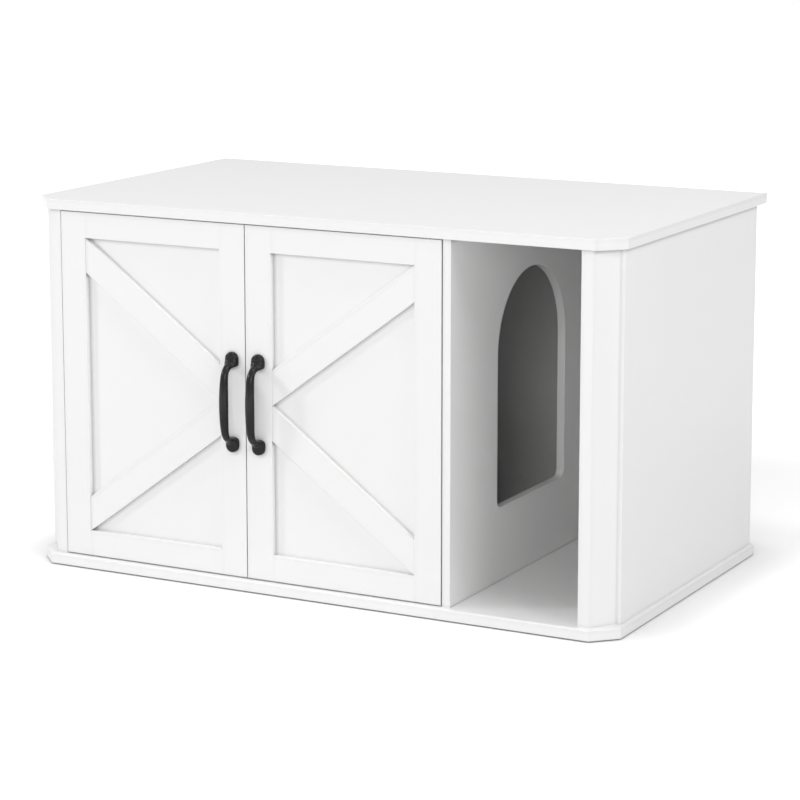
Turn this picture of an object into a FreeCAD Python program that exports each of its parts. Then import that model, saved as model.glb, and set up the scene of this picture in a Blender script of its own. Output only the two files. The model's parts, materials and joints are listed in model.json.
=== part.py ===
import FreeCAD, Part
import math
import os
import re

import Sketcher

# A litter box cabinet: a carcass of white boards with two framed doors in front
# of the litter bay, and an open entry bay beside them. An arched hole in the
# divider lets the cat through from the entry bay to the litter bay.
#
# X runs from the door side to the entry side, Y from front to back, Z up.
# The origin is on the floor, below the centre of the base panel.

os.makedirs("parts", exist_ok=True)
doc = FreeCAD.newDocument("LitterCabinet")

DRIVING = [
    # Carcass
    ("cabinet_width", 900, "top and base panels, side to side"),
    ("body_depth", 513, "base panel, front to back"),
    ("cabinet_height", 525, "floor to top surface"),
    ("top_thick", 15, "top panel"),
    ("base_thick", 15, "base panel"),
    ("side_thick", 15, "side panels"),
    ("divider_thick", 12, "divider panel"),
    ("corner_cut", 32, "leg of the cut front corners of top and base"),
    ("front_step", 7.5, "base panel's front ahead of the top panel's"),
    ("rear_overhang", 22.5, "top panel's rear behind the base panel's"),
    ("top_round", 1.2, "round along the top panel's edges"),
    ("base_bevel", 2, "bevel along the base panel's upper edge"),
    ("edge_round", 0.8, "round along the edges of posts, doors and arch"),
    ("body_setback", 3, "posts and divider behind the top panel's front"),
    ("side_inset", 6, "side panel's outer face in from the base's edge"),
    ("post_depth", 34.5, "corner post, front to back"),
    ("post_width", 39, "corner post, inner face to outer edge"),
    ("post_face", 17, "flat front face of a corner post"),
    ("post_reveal", 7, "side panel's front edge left bare by the post"),
    ("entry_width", 185, "clear width between divider and right post"),
    # Arch through the divider
    ("arch_width", 218, "between the jambs"),
    ("arch_height", 321, "from sill to crown"),
    ("arch_sill", 103.5, "sill above the base panel"),
    ("arch_corner", 12, "radius at the sill's two corners"),
    # Back panels
    ("back_thick", 4, "hardboard back panels"),
    ("back_margin", 2, "back panel's edge in from the side panel's face"),
    ("back_gap", 1, "between the two back panels, and under the top"),
    # Doors
    ("door_setback", 1.8, "doors' front behind the top panel's front"),
    ("door_gap", 1.2, "gap all round the doors"),
    ("door_thick", 16, "stiles and rails"),
    ("stile_width", 40, "stiles"),
    ("rail_width", 36, "rails"),
    ("panel_recess", 8.5, "door's front face to its centre panel"),
    ("panel_thick", 5, "centre panel"),
    ("groove_depth", 6, "groove for the centre panel"),
    ("groove_slack", 0.5, "room left at the bottom of the groove"),
    ("brace_thick", 7.5, "braces on the centre panel"),
    ("brace_cut", 49, "height of a brace's upright end"),
    # Door pivots
    ("pivot_inset", 22, "pivot axis in from the door's hinge edge"),
    ("pivot_setback", 6, "pivot axis behind the door's front face"),
    ("pin_radius", 2.5, "pivot pins"),
    ("pin_grip", 20, "pivot pin's length in the door"),
    ("pin_seat", 8, "pivot pin's length in the top or base panel"),
    ("pin_play", 0.05, "radial running clearance of a pivot pin"),
    ("collar_radius", 4, "collar of a pivot pin"),
    ("bush_wall", 1, "wall of a pivot bushing"),
    ("bush_length", 9, "bushing's length in the panel"),
    ("flange_radius", 4.5, "flange of a bushing"),
    ("flange_thick", 1, "flange of a bushing, let in flush"),
    ("pivot_float", 0.3, "play between collar and flange"),
    # Handles
    ("handle_length", 140, "end to end"),
    ("foot_width", 20, "handle's foot"),
    ("foot_length", 22, "handle's foot, along the handle"),
    ("foot_thick", 7, "handle's foot"),
    ("foot_round", 2, "round along the foot's front edge"),
    ("grip_reach", 24, "door's face to the middle of the grip"),
    ("grip_width", 13.5, "grip, side to side"),
    ("grip_depth", 10.5, "grip, front to back"),
    ("grip_bow", 3, "rise of the grip's middle over its ends"),
    ("neck_width", 10.5, "narrowest place between grip and foot, side to side"),
    ("neck_depth", 8.2, "the same place, front to back"),
    ("neck_bend", 16, "radius of the bend from grip to foot"),
    ("neck_entry", 5, "neck's axis in from the foot's inner end"),
    ("root_width", 18, "where the neck flares into the foot, side to side"),
    # Fittings
    ("fixing_inset", 60, "first fixing from each end of a board"),
    ("fixing_pitch", 32, "from a screw or bolt to the dowel beside it"),
    ("post_dowel_inset", 12.5, "post's dowels in from its inner and rear faces"),
    ("fit_slack", 0.05, "radial room round pressed-in fittings"),
    ("end_slack", 0.5, "room past the end of fittings in blind holes"),
    ("dowel_radius", 3, "wooden dowels"),
    ("dowel_length", 30, "wooden dowels"),
    ("dowel_bite", 10, "dowel's length in the top or base panel"),
    ("cam_radius", 6, "cam lock nuts"),
    ("cam_depth", 9.5, "cam lock nuts"),
    ("cam_drop", 24, "cam's centre below the top panel"),
    ("cam_skin", 3.6, "cam's solid face in front of its slot"),
    ("bolt_thread", 3, "radius of a cam bolt's thread"),
    ("bolt_bite", 9, "cam bolt's length in the top panel"),
    ("bolt_shank", 2.5, "radius of a cam bolt's shank"),
    ("bolt_neck", 1.4, "radius of a cam bolt's neck"),
    ("bolt_head", 1.9, "radius of a cam bolt's head"),
    ("bolt_head_rise", 2.4, "top of the bolt's head above the cam's centre"),
    ("bolt_head_drop", 2, "end of the bolt's head below the cam's centre"),
    ("screw_head", 5, "radius of a base screw's head"),
    ("screw_shank", 3.5, "radius of a base screw's shank"),
    ("screw_thread", 2.5, "radius of a base screw's thread"),
    ("screw_length", 48, "base screws"),
    ("screw_socket", 1.7, "radius of the socket in a base screw"),
    ("head_thick", 2.3, "height of a base screw's head"),
    ("nail_radius", 1, "back panel nails"),
    ("nail_length", 14, "back panel nails, under the head"),
    ("nail_head", 2.75, "radius of a nail's head"),
    ("nail_cap", 1.2, "height of a nail's head"),
    ("nail_row", 140, "longest spacing of the nails"),
    ("glide_radius", 10, "foot glides"),
    ("glide_height", 2, "foot glides"),
    ("glide_inset", 45, "foot glide's centre in from the base's edges"),
    ("glide_pin", 1.5, "radius of a glide's pin"),
    ("glide_bite", 10, "length of a glide's pin"),
    ("bolt_radius", 2, "handle screws"),
    ("bolt_cap", 2.4, "height of a handle screw's head"),
    ("bolt_cap_radius", 4, "head of a handle screw"),
    ("bolt_grip", 5, "handle screw's length in the foot"),
    # Magnetic catch
    ("catch_width", 46, "catch's housing, side to side"),
    ("catch_depth", 15, "catch's housing, front to back"),
    ("catch_drop", 13, "catch's housing, below the top panel"),
    ("catch_gap", 0.3, "between strike plate and catch"),
    ("magnet_width", 15, "each magnet"),
    ("magnet_depth", 5, "each magnet"),
    ("magnet_height", 7, "each magnet"),
    ("magnet_drop", 3, "magnet's top below the top panel"),
    ("strike_width", 18, "strike plates"),
    ("strike_height", 22, "strike plates"),
    ("strike_thick", 1.2, "strike plates"),
    ("strike_edge", 3, "strike plate in from the door's free edge"),
    ("strike_drop", 2, "strike plate below the door's upper edge"),
    ("tack_radius", 1.5, "small screws of catch and strike plates"),
    ("tack_length", 9, "small screws' length in the wood"),
    ("tack_head", 2.8, "radius of a small screw's head"),
    ("tack_cap", 1.5, "height of a small screw's head"),
]

WORKED_OUT = [
    ("top_front", "front_step - body_depth / 2"),
    ("top_depth", "body_depth - front_step + rear_overhang"),
    ("base_rear", "body_depth / 2"),
    ("body_front", "front_step - body_depth / 2 + body_setback"),
    ("side_front", "body_front + post_depth"),
    ("base_over", "glide_height + base_thick"),
    ("top_under", "cabinet_height - top_thick"),
    ("body_height", "top_under - base_over"),
    ("side_outer", "cabinet_width / 2 - side_inset"),
    ("side_inner", "side_outer - side_thick"),
    ("post_outer", "side_outer - post_reveal"),
    ("post_inner", "post_outer - post_width"),
    ("divider_right", "post_inner - entry_width"),
    ("divider_left", "divider_right - divider_thick"),
    ("divider_middle", "divider_right - divider_thick / 2"),
    ("doors_left", "door_gap - post_inner"),
    ("doors_right", "divider_left - door_gap"),
    ("door_width", "(doors_right - doors_left - door_gap) / 2"),
    ("seam_middle", "(doors_left + doors_right) / 2"),
    ("door_under", "base_over + door_gap"),
    ("door_height", "body_height - 2 * door_gap"),
    ("door_over", "door_under + door_height"),
    ("door_middle", "door_under + door_height / 2"),
    ("door_front", "top_front + door_setback"),
    ("door_back", "door_front + door_thick"),
    ("panel_front", "door_front + panel_recess"),
    ("tongue", "groove_depth - groove_slack"),
    ("arch_front", "(body_front + base_rear - arch_width) / 2"),
    ("arch_rear", "arch_front + arch_width"),
    ("arch_floor", "base_over + arch_sill"),
    ("arch_spring", "arch_floor + arch_height - arch_width / 2"),
    ("pivot_line", "door_front + pivot_setback"),
    ("catch_front", "door_back + strike_thick + catch_gap"),
    ("magnet_offset", "strike_edge + door_gap / 2 + strike_width / 2"),
]

sizes = doc.addObject("Spreadsheet::Sheet", "Sizes")
places = doc.addObject("Spreadsheet::Sheet", "Places")
sheet_of = {name: "Sizes" for name, number, note in DRIVING}
sheet_of.update({name: "Places" for name, text in WORKED_OUT})


def formula(text):
    # Each word of a formula that names a cell gets its sheet's name in front.
    def with_sheet(word):
        sheet = sheet_of.get(word.group())
        return word.group() if sheet is None else sheet + "." + word.group()
    return re.sub(r"[a-z_]{3,}", with_sheet, text)


for row, (name, number, note) in enumerate(DRIVING, start=1):
    sizes.set(f"A{row}", note)
    sizes.set(f"B{row}", str(number))
    sizes.setAlias(f"B{row}", name)
doc.recompute()
for row, (name, text) in enumerate(WORKED_OUT, start=1):
    places.set(f"B{row}", "=" + formula(text))
    places.setAlias(f"B{row}", name)
    doc.recompute()

nodes = {}


def value(text):
    return float(places.evalExpression(formula(text)))


def vector(across, back, up):
    return FreeCAD.Vector(value(across), value(back), value(up))


def bind(item, **cells):
    for cell, text in cells.items():
        item.setExpression(cell, formula(text))


def place(item, across, back, up):
    item.setExpression("Placement.Base.x", formula(across))
    item.setExpression("Placement.Base.y", formula(back))
    item.setExpression("Placement.Base.z", formula(up))


def keep(name, item):
    # A kept object is one sub-part of the cabinet.
    item.Label = name
    nodes[name] = item
    return item


def new_body(name):
    return doc.addObject("PartDesign::Body", name)


def sketch_on(body, role):
    sketch = body.newObject("Sketcher::SketchObject", body.Name + "_sketch")
    plane = next(item for item in body.Origin.OriginFeatures if item.Role == role)
    sketch.AttachmentSupport = [(plane, "")]
    sketch.MapMode = "FlatFace"
    return sketch


def tie(sketch, kind, geometry, point, text):
    # Holds one coordinate of a point of the sketch at a formula's value.
    number = sketch.addConstraint(
        Sketcher.Constraint(kind, -1, 1, geometry, point, value(text))
    )
    sketch.setExpression(f"Constraints[{number}]", formula(text))


def tie_point(sketch, geometry, point, across, up):
    tie(sketch, "DistanceX", geometry, point, across)
    tie(sketch, "DistanceY", geometry, point, up)


def polygon(sketch, corners):
    points = [FreeCAD.Vector(value(across), value(up), 0) for across, up in corners]
    first = sketch.GeometryCount
    for start, end in zip(points, points[1:] + points[:1]):
        sketch.addGeometry(Part.LineSegment(start, end))
    count = len(points)
    for index in range(count):
        following = first + (index + 1) % count
        sketch.addConstraint(
            Sketcher.Constraint("Coincident", first + index, 2, following, 1)
        )
    for index, (across, up) in enumerate(corners):
        tie_point(sketch, first + index, 1, across, up)


def tombstone(sketch, left, right, foot, spring):
    # Upright sides and a flat foot, closed above by a half circle.
    low_left = FreeCAD.Vector(value(left), value(foot), 0)
    low_right = FreeCAD.Vector(value(right), value(foot), 0)
    high_left = FreeCAD.Vector(value(left), value(spring), 0)
    high_right = FreeCAD.Vector(value(right), value(spring), 0)
    centre = (high_left + high_right) * 0.5
    circle = Part.Circle(centre, FreeCAD.Vector(0, 0, 1), centre.distanceToPoint(high_left))
    base = sketch.addGeometry(Part.LineSegment(low_left, low_right))
    rising = sketch.addGeometry(Part.LineSegment(low_right, high_right))
    bow = sketch.addGeometry(Part.ArcOfCircle(circle, 0, math.pi))
    falling = sketch.addGeometry(Part.LineSegment(high_left, low_left))
    loop = [base, rising, bow, falling]
    for one, following in zip(loop, loop[1:] + loop[:1]):
        sketch.addConstraint(Sketcher.Constraint("Coincident", one, 2, following, 1))
    tie_point(sketch, base, 1, left, foot)
    tie_point(sketch, rising, 1, right, foot)
    tie_point(sketch, bow, 1, right, spring)
    tie_point(sketch, falling, 1, left, spring)
    tie(sketch, "DistanceY", bow, 3, spring)


def pad(body, sketch, length, backward=False):
    feature = body.newObject("PartDesign::Pad", body.Name + "_pad")
    feature.Profile = sketch
    feature.Reversed = backward
    bind(feature, Length=length)
    doc.recompute()
    return feature


def edges_where(feature, wanted):
    # Names of the feature's edges whose two ends both pass the test.
    names = []
    for number, edge in enumerate(feature.Shape.Edges, start=1):
        ends = [vertex.Point for vertex in edge.Vertexes]
        if wanted(ends):
            names.append(f"Edge{number}")
    return names


def soften(body, feature, kind, cell, size, wanted):
    # Rounds or bevels the chosen edges: kind is Fillet or Chamfer.
    finish = body.newObject("PartDesign::" + kind, body.Name + "_" + kind.lower())
    finish.Base = (feature, edges_where(feature, wanted))
    finish.setExpression(cell, formula(size))
    doc.recompute()
    return finish


def near(one, other):
    return abs(one - other) < 1e-4


def box(name, start, size):
    item = doc.addObject("Part::Box", name)
    bind(item, Length=size[0], Width=size[1], Height=size[2])
    place(item, *start)
    return item


def turned(name, profile):
    # A solid of revolution about Z from a profile of radius and height.
    body = new_body(name)
    sketch = sketch_on(body, "XZ_Plane")
    polygon(sketch, profile)
    feature = body.newObject("PartDesign::Revolution", name + "_turn")
    feature.Profile = sketch
    feature.ReferenceAxis = (sketch, ["V_Axis"])
    feature.Angle = 360
    doc.recompute()
    return body


def copies(name, master, spots):
    # The master's shape at each spot, as one object of separate solids.
    shapes = []
    for spot in spots:
        shape = master.Shape.copy()
        shape.Placement = spot
        shapes.append(shape)
    item = doc.addObject("Part::Feature", name)
    item.Shape = Part.makeCompound(shapes)
    return item


def drilled(name, blank, *cutters):
    # The blank with each set of holes taken out in turn.
    for number, cutter in enumerate(cutters, start=1):
        cut = doc.addObject("Part::Cut", f"{name}_cut_{number}")
        cut.Base = blank
        cut.Tool = cutter
        blank = cut
    doc.recompute()
    return keep(name, blank)


UPRIGHT = FreeCAD.Rotation(FreeCAD.Vector(0, 0, 1), 0)
UPSIDE_DOWN = FreeCAD.Rotation(FreeCAD.Vector(1, 0, 0), 180)
FORWARD = FreeCAD.Rotation(FreeCAD.Vector(1, 0, 0), 90)
FACING_LEFT = FreeCAD.Rotation(FreeCAD.Vector(0, 1, 0), -90)
FACING_RIGHT = FreeCAD.Rotation(FreeCAD.Vector(0, 0, 1), 180).multiply(FACING_LEFT)


def spot(across, back, up, turn=UPRIGHT):
    return FreeCAD.Placement(FreeCAD.Vector(across, back, up), turn)


# Where the fittings sit

# Each upright board: the middle of its thickness, its front end, the X of the
# face that its cams are let into, and the way that face looks.
uprights = [
    ("side_thick / 2 - side_outer", "side_front", "-side_inner", FACING_RIGHT),
    ("divider_middle", "body_front", "divider_left", FACING_LEFT),
    ("side_outer - side_thick / 2", "side_front", "side_inner", FACING_LEFT),
]

dowel_spots = []
screw_spots = []
bolt_spots = []
cam_spots = []
for middle, front, face, looking in uprights:
    across = value(middle)
    near_end = value(front + " + fixing_inset")
    far_end = value("base_rear - fixing_inset")
    pitch = value("fixing_pitch")
    for back in (near_end, far_end):
        screw_spots.append(spot(across, back, value("glide_height")))
        bolt_spots.append(spot(across, back, value("top_under")))
        cam_spots.append(spot(value(face), back, value("top_under - cam_drop"), looking))
    for back in (near_end + pitch, far_end - pitch):
        dowel_spots.append(spot(across, back, value("base_over - dowel_bite")))
        dowel_spots.append(spot(across, back, value("top_under + dowel_bite"), UPSIDE_DOWN))

post_dowel_across = value("post_inner + post_dowel_inset")
post_dowel_back = value("side_front - post_dowel_inset")
for hand in (-1, 1):
    across = hand * post_dowel_across
    dowel_spots.append(spot(across, post_dowel_back, value("base_over - dowel_bite")))
    dowel_spots.append(
        spot(across, post_dowel_back, value("top_under + dowel_bite"), UPSIDE_DOWN)
    )

pivot_across = [value("doors_left + pivot_inset"), value("doors_right - pivot_inset")]
bushing_spots = []
for across in pivot_across:
    bushing_spots.append(spot(across, value("pivot_line"), value("base_over")))
    bushing_spots.append(spot(across, value("pivot_line"), value("top_under"), UPSIDE_DOWN))

glide_across = value("cabinet_width / 2 - glide_inset")
glide_back = value("body_depth / 2 - glide_inset")
glide_spots = [spot(0, 0, 0)]
for hand in (-1, 1):
    for end in (-1, 1):
        glide_spots.append(spot(hand * glide_across, end * glide_back, 0))

# Nails run up both edges of each back panel, and along the base's rear edge.
nail_columns = [
    value("side_thick / 2 - side_outer"),
    value("divider_left + divider_thick / 4"),
    value("divider_right - divider_thick / 4"),
    value("side_outer - side_thick / 2"),
]
nail_plane = value("base_rear + back_thick")
nail_low = value("base_over + fixing_inset / 2")
nail_high = value("top_under - fixing_inset / 2")
nail_steps = math.ceil((nail_high - nail_low) / value("nail_row"))
nail_spots = []
for across in nail_columns:
    for step in range(nail_steps + 1):
        up = nail_low + (nail_high - nail_low) * step / nail_steps
        nail_spots.append(spot(across, nail_plane, up, FORWARD))
for left, right in (nail_columns[:2], nail_columns[2:]):
    steps = math.ceil((right - left) / value("nail_row"))
    for step in range(1, steps):
        across = left + (right - left) * step / steps
        nail_spots.append(
            spot(across, nail_plane, value("glide_height + base_thick / 2"), FORWARD)
        )

catch_screw_back = value("catch_front + (catch_depth + magnet_depth) / 2")
catch_spots = []
for hand in (-1, 1):
    across = value("seam_middle") + hand * value("magnet_offset")
    catch_spots.append(spot(across, catch_screw_back, value("top_under - catch_drop")))


# Fittings


def turned_pair(name, profile, wider, longer):
    # A turned fitting and the tool that cuts its hole: the same profile with
    # each radius a little wider and each blind end a little longer.
    fitting = turned(name, profile)
    hole = turned(
        name + "_hole",
        [
            (across if across == "0" else across + wider, up + longer.get(up, ""))
            for across, up in profile
        ],
    )
    return fitting, hole


dowel, dowel_hole = turned_pair(
    "dowel",
    [
        ("0", "0"),
        ("dowel_radius", "0"),
        ("dowel_radius", "dowel_length"),
        ("0", "dowel_length"),
    ],
    " + fit_slack",
    {"0": " - end_slack", "dowel_length": " + end_slack"},
)
keep("wooden_dowels", copies("wooden_dowels", dowel, dowel_spots))
dowel_holes = copies("dowel_holes", dowel_hole, dowel_spots)

cam_bolt, cam_bolt_hole = turned_pair(
    "cam_bolt",
    [
        ("0", "bolt_bite"),
        ("bolt_thread", "bolt_bite"),
        ("bolt_thread", "0"),
        ("bolt_shank", "0"),
        ("bolt_shank", "cam_radius - cam_drop"),
        ("bolt_neck", "cam_radius - cam_drop"),
        ("bolt_neck", "bolt_head_rise - cam_drop"),
        ("bolt_head", "bolt_head_rise - cam_drop"),
        ("bolt_head", "-bolt_head_drop - cam_drop"),
        ("0", "-bolt_head_drop - cam_drop"),
    ],
    " + fit_slack",
    {"bolt_bite": " + end_slack", "-bolt_head_drop - cam_drop": " - end_slack"},
)
keep("cam_lock_bolts", copies("cam_lock_bolts", cam_bolt, bolt_spots))
bolt_holes = copies("bolt_holes", cam_bolt_hole, bolt_spots)

# A cam's axis is Z here, its face at zero, and its slot opens along X.
cam_round = doc.addObject("Part::Cylinder", "cam_round")
bind(cam_round, Radius="cam_radius", Height="cam_depth")
place(cam_round, "0", "0", "-cam_depth")
cam_slot = box(
    "cam_slot",
    ("-bolt_head_drop - end_slack", "-bolt_head - fit_slack", "-cam_depth"),
    ("2 * cam_radius", "2 * bolt_head + 2 * fit_slack", "cam_depth - cam_skin"),
)
cam = doc.addObject("Part::Cut", "cam")
cam.Base = cam_round
cam.Tool = cam_slot
cam_hole = doc.addObject("Part::Cylinder", "cam_hole")
bind(cam_hole, Radius="cam_radius + fit_slack", Height="cam_depth + end_slack")
doc.recompute()
keep("cam_lock_nuts", copies("cam_lock_nuts", cam, cam_spots))
sunk_cams = [
    FreeCAD.Placement(item.Base, item.Rotation).multiply(
        spot(0, 0, -value("cam_depth + fit_slack"))
    )
    for item in cam_spots
]
cam_holes = copies("cam_holes", cam_hole, sunk_cams)

# A base screw is socketed, and its thick shank fills the base panel only.
base_screw = turned(
    "base_screw",
    [
        ("0", "head_thick / 2"),
        ("screw_socket", "head_thick / 2"),
        ("screw_socket", "0"),
        ("screw_head", "0"),
        ("screw_shank", "head_thick"),
        ("screw_shank", "base_thick - end_slack"),
        ("screw_thread", "base_thick"),
        ("screw_thread", "screw_length"),
        ("0", "screw_length"),
    ],
)
base_screw_hole = turned(
    "base_screw_hole",
    [
        ("0", "0"),
        ("screw_head + fit_slack", "0"),
        ("screw_shank + fit_slack", "head_thick"),
        ("screw_shank + fit_slack", "base_thick"),
        ("screw_thread + fit_slack", "base_thick"),
        ("screw_thread + fit_slack", "screw_length + end_slack"),
        ("0", "screw_length + end_slack"),
    ],
)
keep("base_screws", copies("base_screws", base_screw, screw_spots))
screw_holes = copies("screw_holes", base_screw_hole, screw_spots)

nail, nail_hole = turned_pair(
    "nail",
    [
        ("0", "-nail_cap"),
        ("nail_head", "-nail_cap"),
        ("nail_head", "0"),
        ("nail_radius", "0"),
        ("nail_radius", "nail_length"),
        ("0", "nail_length"),
    ],
    " + fit_slack",
    {"nail_length": " + end_slack"},
)
keep("back_panel_nails", copies("back_panel_nails", nail, nail_spots))
nail_holes = copies("nail_holes", nail_hole, nail_spots)

glide, glide_hole = turned_pair(
    "glide",
    [
        ("0", "0"),
        ("glide_radius", "0"),
        ("glide_radius", "glide_height"),
        ("glide_pin", "glide_height"),
        ("glide_pin", "glide_height + glide_bite"),
        ("0", "glide_height + glide_bite"),
    ],
    " + fit_slack",
    {"glide_height + glide_bite": " + end_slack"},
)
keep("foot_glides", copies("foot_glides", glide, glide_spots))
glide_holes = copies("glide_holes", glide_hole, glide_spots)

bushing = turned(
    "bushing",
    [
        ("pin_radius + pin_play", "-bush_length"),
        ("pin_radius + pin_play + bush_wall", "-bush_length"),
        ("pin_radius + pin_play + bush_wall", "-flange_thick"),
        ("flange_radius", "-flange_thick"),
        ("flange_radius", "0"),
        ("pin_radius + pin_play", "0"),
    ],
)
bushing_hole = turned(
    "bushing_hole",
    [
        ("0", "-bush_length - end_slack"),
        ("pin_radius + pin_play + bush_wall + fit_slack", "-bush_length - end_slack"),
        ("pin_radius + pin_play + bush_wall + fit_slack", "-flange_thick"),
        ("flange_radius + fit_slack", "-flange_thick"),
        ("flange_radius + fit_slack", "0"),
        ("0", "0"),
    ],
)
keep("pivot_bushings", copies("pivot_bushings", bushing, bushing_spots))
bushing_holes = copies("bushing_holes", bushing_hole, bushing_spots)

# A pivot pin's door end is up, and its collar lies just under the door.
pin = turned(
    "pivot_pin",
    [
        ("0", "pin_grip"),
        ("pin_radius", "pin_grip"),
        ("pin_radius", "0"),
        ("collar_radius", "0"),
        ("collar_radius", "pivot_float - door_gap"),
        ("pin_radius", "pivot_float - door_gap"),
        ("pin_radius", "-door_gap - pin_seat"),
        ("0", "-door_gap - pin_seat"),
    ],
)
pin_hole = turned(
    "pivot_pin_hole",
    [
        ("0", "0"),
        ("pin_radius + fit_slack", "0"),
        ("pin_radius + fit_slack", "pin_grip + end_slack"),
        ("0", "pin_grip + end_slack"),
    ],
)

handle_screw, handle_screw_hole = turned_pair(
    "handle_screw",
    [
        ("0", "-bolt_cap"),
        ("bolt_cap_radius", "-bolt_cap"),
        ("bolt_cap_radius", "0"),
        ("bolt_radius", "0"),
        ("bolt_radius", "door_thick + bolt_grip"),
        ("0", "door_thick + bolt_grip"),
    ],
    " + fit_slack",
    {"door_thick + bolt_grip": " + end_slack"},
)

# Small screw: its head is below zero and its length in the wood starts where
# the fitting that it holds ends.
catch_screw, catch_screw_hole = turned_pair(
    "catch_screw",
    [
        ("0", "-tack_cap"),
        ("tack_head", "-tack_cap"),
        ("tack_head", "0"),
        ("tack_radius", "0"),
        ("tack_radius", "catch_drop + tack_length"),
        ("0", "catch_drop + tack_length"),
    ],
    " + fit_slack",
    {"catch_drop + tack_length": " + end_slack"},
)
keep("catch_screws", copies("catch_screws", catch_screw, catch_spots))
catch_holes = copies("catch_holes", catch_screw_hole, catch_spots)

strike_screw, strike_screw_hole = turned_pair(
    "strike_screw",
    [
        ("0", "-tack_cap"),
        ("tack_head", "-tack_cap"),
        ("tack_head", "0"),
        ("tack_radius", "0"),
        ("tack_radius", "strike_thick + tack_length"),
        ("0", "strike_thick + tack_length"),
    ],
    " + fit_slack",
    {"strike_thick + tack_length": " + end_slack"},
)


# Carcass


def level_outline(sketch, front, rear):
    # Top and base share this outline: a rectangle with its front corners cut.
    half = "cabinet_width / 2"
    polygon(
        sketch,
        [
            ("corner_cut - " + half, front),
            (half + " - corner_cut", front),
            (half, front + " + corner_cut"),
            (half, rear),
            ("-" + half, rear),
            ("-" + half, front + " + corner_cut"),
        ],
    )


def top_panel():
    body = new_body("top_blank")
    sketch = sketch_on(body, "XY_Plane")
    level_outline(sketch, "top_front", "top_front + top_depth")
    slab = pad(body, sketch, "top_thick")
    soften(body, slab, "Fillet", "Radius", "top_round", lambda ends: near(ends[0].z, ends[1].z))
    place(body, "0", "0", "top_under")
    drilled("top_panel", body, dowel_holes, bolt_holes, bushing_holes, catch_holes)


def base_panel():
    body = new_body("base_blank")
    sketch = sketch_on(body, "XY_Plane")
    level_outline(sketch, "-body_depth / 2", "base_rear")
    slab = pad(body, sketch, "base_thick")
    upper = value("base_thick")
    rear = value("base_rear")

    def shown(ends):
        on_top = all(near(end.z, upper) for end in ends)
        return on_top and not all(near(end.y, rear) for end in ends)

    soften(body, slab, "Chamfer", "Size", "base_bevel", shown)
    place(body, "0", "0", "glide_height")
    drilled(
        "base_panel", body,
        dowel_holes, screw_holes, bushing_holes, glide_holes, nail_holes,
    )


def side_panel(name, hand):
    body = new_body(name + "_blank")
    sketch = sketch_on(body, "XY_Plane")
    polygon(
        sketch,
        [
            (hand + "side_inner", "side_front"),
            (hand + "side_outer", "side_front"),
            (hand + "side_outer", "base_rear"),
            (hand + "side_inner", "base_rear"),
        ],
    )
    board = pad(body, sketch, "body_height")
    front = value("side_front")
    outer = value("side_outer")

    def corner(ends):
        return all(near(end.y, front) and near(abs(end.x), outer) for end in ends)

    soften(body, board, "Fillet", "Radius", "edge_round", corner)
    place(body, "0", "0", "base_over")
    drilled(name, body, dowel_holes, screw_holes, cam_holes, bolt_holes, nail_holes)


def corner_post(name, hand):
    body = new_body(name + "_blank")
    sketch = sketch_on(body, "XY_Plane")
    polygon(
        sketch,
        [
            (hand + "post_inner", "body_front"),
            (hand + "(post_inner + post_face)", "body_front"),
            (hand + "post_outer", "side_front"),
            (hand + "post_inner", "side_front"),
        ],
    )
    post = pad(body, sketch, "body_height")
    front = value("body_front")

    def front_corner(ends):
        return all(near(end.y, front) for end in ends) and not near(ends[0].z, ends[1].z)

    soften(body, post, "Fillet", "Radius", "edge_round", front_corner)
    place(body, "0", "0", "base_over")
    drilled(name, body, dowel_holes)


def divider_panel():
    body = new_body("divider_blank")
    sketch = sketch_on(body, "YZ_Plane")
    polygon(
        sketch,
        [
            ("body_front", "base_over"),
            ("base_rear", "base_over"),
            ("base_rear", "top_under"),
            ("body_front", "top_under"),
        ],
    )
    tombstone(sketch, "arch_front", "arch_rear", "arch_floor", "arch_spring")
    board = pad(body, sketch, "divider_thick")
    sill = value("arch_floor")

    def sill_corner(ends):
        return all(near(end.z, sill) for end in ends) and near(ends[0].y, ends[1].y)

    holed = soften(body, board, "Fillet", "Radius", "arch_corner", sill_corner)
    front = value("body_front")
    rear = value("base_rear")

    def rim(ends):
        on_face = near(ends[0].x, ends[-1].x)
        inside = all(front + 1 < end.y < rear - 1 for end in ends)
        return on_face and inside

    rounded = soften(body, holed, "Fillet", "Radius", "edge_round", rim)

    foot = value("base_over")

    def front_or_foot(ends):
        # The upright front edges, and the long edges that stand on the base.
        in_front = all(near(end.y, front) for end in ends)
        on_base = all(near(end.z, foot) for end in ends)
        return (in_front or on_base) and near(ends[0].x, ends[1].x)

    soften(body, rounded, "Fillet", "Radius", "edge_round", front_or_foot)
    place(body, "divider_left", "0", "0")
    drilled(
        "divider_panel", body,
        dowel_holes, screw_holes, cam_holes, bolt_holes, nail_holes,
    )


def back_panels():
    inner_edge = "divider_middle - back_gap / 2"
    outer_edge = "back_margin - side_outer"
    bottom = "glide_height + back_gap"
    height = "top_under - back_gap - glide_height - back_gap"
    left = box(
        "back_left_blank",
        (outer_edge, "base_rear", bottom),
        (inner_edge + " - (" + outer_edge + ")", "back_thick", height),
    )
    right = box(
        "back_right_blank",
        ("divider_middle + back_gap / 2", "base_rear", bottom),
        ("side_outer - back_margin - divider_middle - back_gap / 2", "back_thick", height),
    )
    drilled("back_panel_left", left, nail_holes)
    drilled("back_panel_right", right, nail_holes)


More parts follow.
